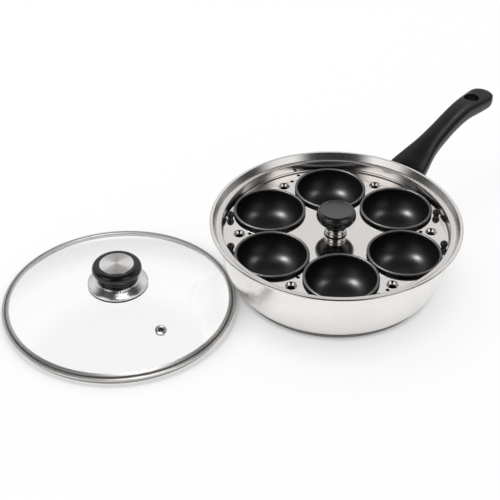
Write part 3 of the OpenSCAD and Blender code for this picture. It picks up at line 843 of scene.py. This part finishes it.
# The channel over, round and under the glass
fold += [(hold + 0.5, top_in + RIM_T), (hold + 0.1, top_in + RIM_T * 0.7), (hold, top_in)]
fold += [(shell, top_out), (shell, low_out), (hold, low_in), (hold, low_in - RIM_T)]
fold += [(SKIRT_OUT - RIM_T, low_out - RIM_T - 0.3)]
# Its finish carries a ring of painted shade just inside the bead
steel_rim = round_piece("steel_rim", fold, "lid", "rim_steel", "lid_rim", place=LID_AT,
                        steps=WIDE, closed=True)

# %% [markdown]
# The steam hole is lined by an eyelet, a small rivet that is rolled over on both sides of
# the glass. It is turned upright and then tilted, so that it stands square on the dome. A
# dark ring lines it.

# %% The steam eyelet
STEM_R = 3.5
UNDER_GLASS, OVER_GLASS = -3.4, 0.2
rivet = [(2.6, -4.2), (4.6, -4.2), (5.1, -3.8), (5.0, UNDER_GLASS), (STEM_R, UNDER_GLASS)]
rivet += [(STEM_R, OVER_GLASS), (5.5, OVER_GLASS)]
rivet += arc((5.3, 0.65), (0.5, 0.45), -90, 60, 6) + arc((4.0, 0.5), (1.4, 1.0), 60, 160, 8)
eyelet = round_piece("eyelet", rivet, "lid", "rim_steel", "lid_vent_eyelet",
                     place=LID_AT + STEAM_AT, turn=tilted, finish="plain_steel", steps=NARROW,
                     closed=True)

liner = [(1.9, -4.0), (2.55, -4.0), (2.55, 0.5), (2.3, 0.75), (1.95, 0.5)]
round_piece("eyelet_liner", liner, "lid", "black_rubber", place=LID_AT + STEAM_AT, turn=tilted,
            steps=SMALL, closed=True)

# %% [markdown]
# The lid's knob is built up from below. First come a dark gasket, whose underside follows
# the glass, and a bright steel skirt, which is pressed from sheet like the rack.

# %% The gasket and the skirt of the lid's knob
SKIRT_R = 30
PAD_W = 5
PAD_SINK, PAD_T = 1, 1.4
DISH_H, DISH_T = 6, 0.9
SEAT = GLASS_TOP - PAD_SINK + PAD_T
BODY_Z = SEAT + DISH_H
BODY_R = 24.5

inner = SKIRT_R - PAD_W
pad = [(inner, dome_z(inner) + HAIR), (SKIRT_R - 0.3, dome_z(SKIRT_R - 0.3) + HAIR)]
pad += [(SKIRT_R - 0.05, dome_z(SKIRT_R) + 0.4), (SKIRT_R - 0.1, SEAT - 0.3)]
pad += [(SKIRT_R - 0.4, SEAT), (inner, SEAT)]
round_piece("knob_pad", pad, "lid", "black_rubber", "lid_knob_gasket", place=LID_AT,
            closed=True)

shoulder = BODY_R - 4
dish = [(SKIRT_R - 0.4, SEAT), (SKIRT_R, SEAT + 0.4), (SKIRT_R, SEAT + 1)]
dish += arc((SKIRT_R - 5, SEAT + 1.2), (5, 2.6), 0, 74, 12)
dish += arc((shoulder + 2.6, BODY_Z + 0.6), (2.4, 1.9), -82, -160, 8)
dish += [(shoulder + 0.1, BODY_Z), (BORE, BODY_Z)]
knob_dish = round_piece("knob_dish", walled(dish, DISH_T), "lid", "rim_steel", "lid_knob_skirt",
                        place=LID_AT, finish="dish_steel", closed=True)

# %% [markdown]
# On the skirt stands the black body, with two grooves round its foot, and a turned steel
# disc is let into its top.

# %% The body and the inlay of the lid's knob
BODY_H = 17.5
INLAY_R = 17
SHELF = BODY_Z + BODY_H - 1.3
GROOVE = 0.7
body_foot = BODY_R - 4.5
body_top = BODY_Z + BODY_H
wide = BODY_Z + BODY_H * 0.69
body = [(BORE, BODY_Z), (body_foot, BODY_Z), (body_foot, BODY_Z + 2.1)]
body += arc((body_foot, BODY_Z + 2.8), GROOVE, -90, -270, 6)
body += [(body_foot, BODY_Z + 5.3)]
body += arc((body_foot, BODY_Z + 6.0), GROOVE, -90, -250, 6)
body += [(body_foot + 0.6, BODY_Z + 7.2)]
body += arc((BODY_R - 3.4, wide), (3.4, 3.6), -45, 0, 8)
body += arc((BODY_R - 5, wide), (5, body_top - wide), 6, 78, 14)
body += [(INLAY_R + 1.1, body_top), (INLAY_R + 0.3, body_top - 0.3)]
body += [(INLAY_R + 0.15, SHELF), (BORE, SHELF)]
round_piece("knob_body", body, "lid", "black_gloss", "lid_knob", place=LID_AT,
            finish="knob_black", closed=True)

disc = [(0, SHELF), (INLAY_R, SHELF), (INLAY_R, SHELF + 1.2)]
disc += arc((INLAY_R - 0.5, SHELF + 1.2), (0.5, 0.4), 20, 80, 3)
disc += [(INLAY_R * 0.75, SHELF + 1.9), (INLAY_R * 0.4, SHELF + 2.2), (0, SHELF + 2.3)]
round_piece("knob_inlay", disc, "lid", "turned_steel", "lid_knob_inlay", place=LID_AT)

# %% [markdown]
# Every surface of the pan gets a finish of its own, built from shader nodes. A line such as
# 0.1 + 0.05 * noise is easier to read than three nodes, so one small class wraps a socket and
# lets Python's operators add the Math nodes. Any other node comes from its node method.

# %% A socket that understands Python's operators


def operator(operation, swapped=False):
    """A Math node as an operator of Python, with its sides swapped for a reflected one."""

    def method(self, other):
        sides = (other, self) if swapped else (self, other)
        return self.maths(operation, *sides)

    return method


class Wire:
    """One output of a shader node, with Python's operators on it."""

    def __init__(self, tree, socket):
        self.tree = tree
        self.socket = socket

    def node(self, kind, settings=None, inputs=None, output=0):
        """Adds any node: first its settings, then the values or links of its sockets."""
        made = self.tree.nodes.new(kind)
        for key, value in (settings or {}).items():
            if key == "stops":
                elements = made.color_ramp.elements
                while len(elements) < len(value):
                    elements.new(1)
                for stop, (where, shade) in zip(elements, value):
                    stop.position = where
                    stop.color = (shade, shade, shade, 1)
            else:
                setattr(made, key, value)
        for key, value in (inputs or {}).items():
            if isinstance(value, Wire):
                self.tree.links.new(value.socket, made.inputs[key])
            else:
                made.inputs[key].default_value = value
        return Wire(self.tree, made.outputs[output])

    def ramp(self, *stops):
        """A grey value that follows stops, each a place from 0 to 1 and a shade."""
        return self.node("ShaderNodeValToRGB", {"stops": stops}, {"Fac": self})

    def vector(self, operation, other, output=0):
        """Vector maths between this vector and a fixed one."""
        settings = {"operation": operation}
        return self.node("ShaderNodeVectorMath", settings, {0: self, 1: tuple(other)}, output)

    def maths(self, operation, first, second):
        """Maths with two values, on which the operators build."""
        return self.node("ShaderNodeMath", {"operation": operation}, {0: first, 1: second})

    __add__, __radd__ = operator("ADD"), operator("ADD", swapped=True)
    __sub__, __rsub__ = operator("SUBTRACT"), operator("SUBTRACT", swapped=True)
    __mul__, __rmul__ = operator("MULTIPLY"), operator("MULTIPLY", swapped=True)
    __truediv__, __pow__ = operator("DIVIDE"), operator("POWER")


def ray_is(tree, *kinds):
    """1 for rays of the kinds that are named, and 0 for all others."""
    outputs = tree.nodes.new("ShaderNodeLightPath").outputs
    found = [Wire(tree, outputs[f"Is {kind} Ray"]) for kind in kinds]
    return sum(found[1:], found[0])

# %% [markdown]
# A finish is one material around a Principled shader. Its patterns read Object coordinates,
# so they stay on the piece when it moves. Polished steel shows fine lines round its axis,
# which are a noise that only knows the distance from the axis and the height.

# %% A material and its patterns


class Finish:
    """A material around one Principled shader."""

    def __init__(self, name, colour, roughness, **constants):
        self.material = bpy.data.materials.new(name)
        self.material.use_nodes = True
        self.tree = self.material.node_tree
        self.shader = self.tree.nodes["Principled BSDF"]
        self.shader.inputs["Base Color"].default_value = (*colour, 1)
        self.shader.inputs["Roughness"].default_value = roughness
        for key, value in constants.items():
            self.shader.inputs[key.replace("_", " ")].default_value = value
        coordinates = self.tree.nodes.new("ShaderNodeTexCoord")
        self.place = Wire(self.tree, coordinates.outputs["Object"])

    def feed(self, socket, wire):
        """Links a varying value to one of the shader's sockets."""
        self.tree.links.new(wire.socket, self.shader.inputs[socket])

    def noise(self, scale, detail=3.0, at=None):
        """A noise pattern from 0 to 1, with its scale in patterns per metre."""
        inputs = {"Vector": at or self.place, "Scale": scale, "Detail": detail}
        return self.place.node("ShaderNodeTexNoise", {}, inputs)

    def tint(self, mask, low, high):
        """Feeds a mix of two colours to Base Color."""
        mixed = mask.node(
            "ShaderNodeMix",
            {"data_type": "RGBA"},
            {"Factor": mask, "A": (*low, 1), "B": (*high, 1)},
            output="Result",
        )
        self.feed("Base Color", mixed)

    def relief(self, height, depth):
        """Feeds a bump of some depth, in millimetres, to Normal."""
        bump = height.node("ShaderNodeBump", {}, {"Height": height, "Distance": depth * MM})
        self.feed("Normal", bump)

    def height(self):
        """The height of a point in metres."""
        return self.place.node("ShaderNodeSeparateXYZ", {}, {"Vector": self.place}, "Z")

    def axis_lines(self, scale, centre=(0, 0, 0)):
        """Fine lines round an upright axis, such as a polishing wheel leaves."""
        moved = self.place.vector("SUBTRACT", centre)
        parts = moved.node("ShaderNodeSeparateXYZ", {}, {"Vector": moved})
        across = [Wire(self.tree, parts.socket.node.outputs[i]) for i in range(3)]
        radius = (across[0] * across[0] + across[1] * across[1]) ** 0.5
        lined = radius.node("ShaderNodeCombineXYZ", {}, {"X": radius, "Y": across[2]})
        return self.noise(scale, 2.0, lined)

# %% [markdown]
# Steel reflects its surroundings, so its colour stays nearly constant, and its character
# comes from roughness, from fine turned lines and from the direction in which they stretch
# highlights. Plastics and the non-stick coating are nearly black, and what shows on them is
# sheen, so they differ in roughness and in grain.

# %% Two families of finishes
# Patterns per metre: smears, waves in the sheet, and patches on plastic
SMEARS, WAVES, PATCHES = 38, 45, 60
# Depth of the turned lines in millimetres
LINE_DEPTH = 0.004
finishes = {}


def steel(name, roughness, lines, centre=(0, 0, 0), colour=(0.80, 0.78, 0.755), stretch=0.6,
          satin=()):
    """Steel with turned lines round an axis and faint smears from handling.

    Where `satin` gives stops, the roughness follows the height in metres.
    """
    made = Finish(
        name, colour, roughness, Metallic=1.0, Anisotropic=stretch, Anisotropic_Rotation=0.25
    )
    smear = made.noise(SMEARS, 4).ramp((0.35, 0.0), (0.75, 1.0))
    turning = made.axis_lines(lines, centre)
    if satin:
        roughness = made.height().ramp(*satin)
    made.feed("Roughness", roughness + 0.03 * smear + 0.03 * turning)
    made.tint(smear, colour, tuple(c * 0.96 for c in colour))
    made.relief(turning + 12 * made.noise(WAVES, 2), LINE_DEPTH)
    finishes[name] = made.material
    return made


def dark(name, roughness, grain, depth, colour, **constants):
    """Dark plastic or coating with a fine moulded grain."""
    made = Finish(name, colour, roughness, **constants)
    fine = made.noise(grain, 3)
    patch = made.noise(PATCHES, 3)
    made.feed("Roughness", roughness - 0.04 + 0.08 * patch)
    made.tint(patch, tuple(c * 0.8 for c in colour), tuple(c * 1.25 for c in colour))
    made.relief(fine, depth)
    finishes[name] = made.material
    return made

# %% [markdown]
# The pan is brushed up to its ledge, shinier at the ledge and satin on the flare. The rack
# has a polished plate and a satin wall. So the roughness of both follows the height. Shade
# is painted under the base, in the groove over it, and in the fold just inside the bead of
# the lid's rim: a grey mixed into the colour there is painted shade.

# %% The steels
# The pale colour of the steel, and the grey of the painted shade
PALE, PAINTED_SHADE = (0.90, 0.88, 0.86), (0.16, 0.155, 0.15)
steel("polished_steel", 0.25, 2200, colour=PALE,
      satin=((0.0615, 0.25), (0.0635, 0.12), (0.0645, 0.20)))
steel("rack_steel", 0.06, 2600, colour=(0.85, 0.82, 0.80), stretch=0.3,
      satin=((0.0550, 0.06), (0.0575, 0.19)))
# Stops: height, or distance from the lid's axis, in metres, and share of painted shade
base = steel("base_steel", 0.25, 2200)
seam = BASE_T * MM
# Painted shade: grey fading up from the cap's lowest edge, and full grey from the groove over it
# upwards
base_shade_stops = (0.0004, 0.8), (0.0011, 0.0), (seam - 0.0021, 0.0), (seam - 0.0017, 1.0)
base.tint(base.height().ramp(*base_shade_stops), PALE, PAINTED_SHADE)
rim = steel("rim_steel", 0.40, 2600, LID_AT, stretch=0.5)
bead_foot = SKIRT_OUT * MM
# Painted shade: a grey ring about 1 mm wide just inside the bead of the lid's rim
rim_shade_stops = [(bead_foot - 0.0010, 0.0), (bead_foot - 0.0008, 0.7)]
rim_shade_stops += [(bead_foot, 0.7), (bead_foot + 0.0002, 0.0)]
rim.tint(rim.place.vector("DISTANCE", LID_AT, "Value").ramp(*rim_shade_stops), PALE, PAINTED_SHADE)
steel("dish_steel", 0.25, 2600, LID_AT, colour=(0.95, 0.935, 0.92), stretch=0.95)
steel("turned_steel", 0.27, 3200, LID_AT, colour=(0.93, 0.91, 0.89), stretch=0.98)
steel("plain_steel", 0.24, 1500)
steel("chrome_trim", 0.04, 900, stretch=0.0)
steel("aluminium_core", 0.35, 1200, colour=(0.85, 0.85, 0.86))
print(f"{len(finishes)} steels")

# %% [markdown]
# The dark finishes, and the glass. A coat makes the tops of the cups' lips shine. Real glass
# lets most light through to the floor, while traced shadows of clear glass come out too
# dark, so it turns see-through for shadow and diffuse rays.

# %% The dark finishes and the glass
CLEARING = 0.96
cup_coat = dark("non_stick", 0.34, 2600, 0.012, (0.002, 0.002, 0.0022), Specular_IOR_Level=0.28,
                Coat_Roughness=0.55, Coat_IOR=2.0)
lip = CUP_TOP * MM
cup_coat.feed("Coat Weight", cup_coat.height().ramp((lip - 0.0016, 0.0), (lip - 0.0009, 1.0)))
dark("black_handle", 0.38, 1500, 0.035, (0.004, 0.004, 0.0043), Specular_IOR_Level=0.32)
dark("black_gloss", 0.26, 900, 0.003, (0.005, 0.005, 0.0053), Specular_IOR_Level=0.7,
     Coat_Weight=0.8, Coat_Roughness=0.2)
dark("knob_black", 0.21, 900, 0.003, (0.004, 0.004, 0.0043), Specular_IOR_Level=0.55)
dark("black_rubber", 0.55, 1900, 0.015, (0.010, 0.010, 0.010))
dark("white_seal", 0.45, 1900, 0.01, (0.72, 0.72, 0.70))

glass = Finish("clear_glass", (0.98, 0.985, 0.985), 0.0, IOR=1.5, Transmission_Weight=1.0)
glass.feed("Alpha", 1 - CLEARING * ray_is(glass.tree, "Shadow", "Diffuse"))
finishes["clear_glass"] = glass.material
print(f"{len(finishes)} finishes")

# %% [markdown]
# Most finishes have the name of a CAD material. The CAD nodes that stay in the scene get
# theirs by that name, and the new pieces get the one that was noted.

# %% Give the pieces their finishes
for row in frame["record"]["materials"]:
    if row["slot"] not in finishes:
        print("no finish for", row["slot"])

for node in frame["nodes"].values():
    for holder in node.material_slots:
        name = holder.material.name.split(".")[0]
        if name in finishes:
            holder.material = finishes[name]
        else:
            print("a CAD material without a finish:", name)

for piece, finish in finished:
    piece.data.materials.clear()
    piece.data.materials.append(finishes[finish])
print(f"{len(finished)} pieces dressed")

# %% [markdown]
# The camera stands where the photograph was taken from: about 1.16 m away and 37 degrees
# above the table, with a long lens. A nearer camera would make the lid in front look larger
# beside the pan.

# %% Camera
EYE = Vector((-0.8111, -0.5459, 0.7762))
AIM = Vector((-0.0934, 0.0353, 0.0700))
SENSOR = 36.0
FOCAL_SHARE = 2.4

camera_data = bpy.data.cameras.new("camera")
camera_data.sensor_width = SENSOR
camera_data.lens = SENSOR * FOCAL_SHARE
camera_data.clip_end = 50
camera = bpy.data.objects.new("camera", camera_data)
bpy.context.scene.collection.objects.link(camera)
camera.location = EYE
camera.rotation_euler = (AIM - EYE).to_track_quat("-Z", "Y").to_euler()
bpy.context.scene.camera = camera
print(f"camera {(AIM - EYE).length:.2f} m from its aim")

# %% [markdown]
# One large lamp overhead gives the soft shadows. Two small ones make the pair of highlights
# in every cup, a third one the sheen along the handle, and a fourth one lights the steel of
# the lid. Light linking keeps the four off everything else.

# %% The lamps
backward = Vector((AIM.x - EYE.x, AIM.y - EYE.y, 0)).normalized()
rightward = Vector((backward.y, -backward.x, 0))
STAGE_MIDDLE = Vector((-0.05, 0.03, 0.05))
LAMP_AWAY, OVERHEAD_AWAY = 2.0, 2.5


def softbox(name, direction, distance, size, watts):
    """A round area lamp, aimed from a direction (right, back, up) as the camera sees it."""
    across, back, up = direction
    lamp = bpy.data.lights.new(name, "AREA")
    lamp.shape = "DISK"
    lamp.size = size
    lamp.energy = watts
    holder = bpy.data.objects.new(name, lamp)
    bpy.context.scene.collection.objects.link(holder)
    way = (rightward * across + backward * back + Vector((0, 0, up))).normalized()
    holder.location = STAGE_MIDDLE + way * distance
    holder.rotation_euler = (-way).to_track_quat("-Z", "Y").to_euler()
    return holder


overhead = softbox("overhead", (-0.30, 0.30, 0.90), OVERHEAD_AWAY, 1.2, 15)
overhead.visible_glossy = False
overhead.visible_transmission = False
cups = [piece for piece, finish in finished if finish == "non_stick"]
lid_steel = [knob_dish, steel_rim, eyelet]
for name, direction, size, watts, lit in (
    ("box_left", (-0.47, 0.07, 0.88), 0.4, 72, cups),
    ("box_right", (0.645, 0.15, 0.75), 0.5, 13, cups),
    ("box_handle", (0.50, 0.40, 0.77), 0.6, 6, [handle_grip]),
    ("box_lid", (0.05, -0.15, 1.0), 0.9, 13, lid_steel),
):
    receivers = bpy.data.collections.new(name)
    for piece in lit:
        receivers.objects.link(piece)
    lamp = softbox(name, direction, LAMP_AWAY, size, watts)
    lamp.light_linking.receiver_collection = receivers
print(f"{len(bpy.data.lights)} lamps")

# %% [markdown]
# The floor is white paper that goes to pure white for the camera and keeps the soft shadow.
# A Mix Shader blends the paper with plain white light, the more the farther a point lies
# from the pan's foot and from the edge of the lid.

# %% The floor
FLOOR_SIZE = 12
deselect()
bpy.ops.mesh.primitive_plane_add(size=FLOOR_SIZE, location=(0, 0, 0))
floor = bpy.context.object
floor.name = "floor"

paper = Finish("paper", (0.88, 0.88, 0.88), 0.8, Specular_IOR_Level=0.1)
nodes, links = paper.tree.nodes, paper.tree.links
white = nodes.new("ShaderNodeEmission")
seen = ray_is(paper.tree, "Camera", "Glossy", "Transmission")
lid_edge = LID_R * MM
# Stops: distance in metres, and share of white light
by_pan = paper.place.vector("DISTANCE", (0, 0, 0), "Value")
by_lid = paper.place.vector("DISTANCE", LID_AT, "Value")
glow = by_pan.ramp((BASE_R * MM, 0.0), (0.104, 0.5), (0.14, 0.82))
glow = glow * by_lid.ramp((lid_edge - 0.005, 1.0), (lid_edge, 0.3), (lid_edge + 0.025, 1.0))
blend = seen.node("ShaderNodeMixShader", {}, {0: glow * seen})
links.new(paper.shader.outputs[0], blend.socket.node.inputs[1])
links.new(white.outputs[0], blend.socket.node.inputs[2])
links.new(blend.socket, nodes["Material Output"].inputs["Surface"])
floor.data.materials.append(paper.material)
print(f"floor of {FLOOR_SIZE} m")

# %% [markdown]
# What polished metal shows is its surroundings. In the photograph they are bright behind
# the pan, with two bright panels beside the camera, and dark in front, overhead and in
# between, which gives the steel its black streaks and keeps the cups black. So the world has
# one plain strength for diffuse light, and for glossy rays a brightness that depends on
# their direction: one ramp round the horizon and one from the horizon up.

# %% The world
DIFFUSE_LEVEL = 0.92
GLOSSY_TOP = 1.25
world = bpy.data.worlds.new("studio")
bpy.context.scene.world = world
world.use_nodes = True
sky = world.node_tree
background = sky.nodes["Background"]
background.inputs["Color"].default_value = (1, 1, 1, 1)
looking = Wire(sky, sky.nodes.new("ShaderNodeTexCoord").outputs["Generated"])
glossy = ray_is(sky, "Glossy")
clear = ray_is(sky, "Camera", "Transmission")

# How far a ray looks away from the camera, to the right and up, each from -1 to 1. Straight
# up and down, TINY keeps the division from going by 0.
TINY = 0.0001
back, across, up = [
    looking.vector("DOT_PRODUCT", way, "Value") for way in (backward, rightward, (0, 0, 1))
]
round_way = 0.5 + 0.5 * back / (back * back + across * across + TINY) ** 0.5
# Stops: from looking at the camera's side, 0, to looking away from it, 1, and brightness
ring = round_way.ramp(
    (0.04, 0.02), (0.10, 0.95), (0.27, 0.95), (0.37, 0.06),
    (0.50, 0.07), (0.60, 0.45), (0.85, 0.62), (1.0, 0.63),
)
# Stops: from the horizon, 0, to straight up, 1, and brightness
rise = up.ramp(
    (0.0, 0.6), (0.08, 0.3), (0.25, 0.35), (0.45, 1.0), (0.68, 1.0), (0.82, 0.07), (1.0, 0.05)
)
level = DIFFUSE_LEVEL * (1 - glossy - clear) + GLOSSY_TOP * glossy * ring * rise + clear
sky.links.new(level.socket, background.inputs["Strength"])
bpy.context.scene.view_settings.view_transform = "Standard"
print("studio lit")
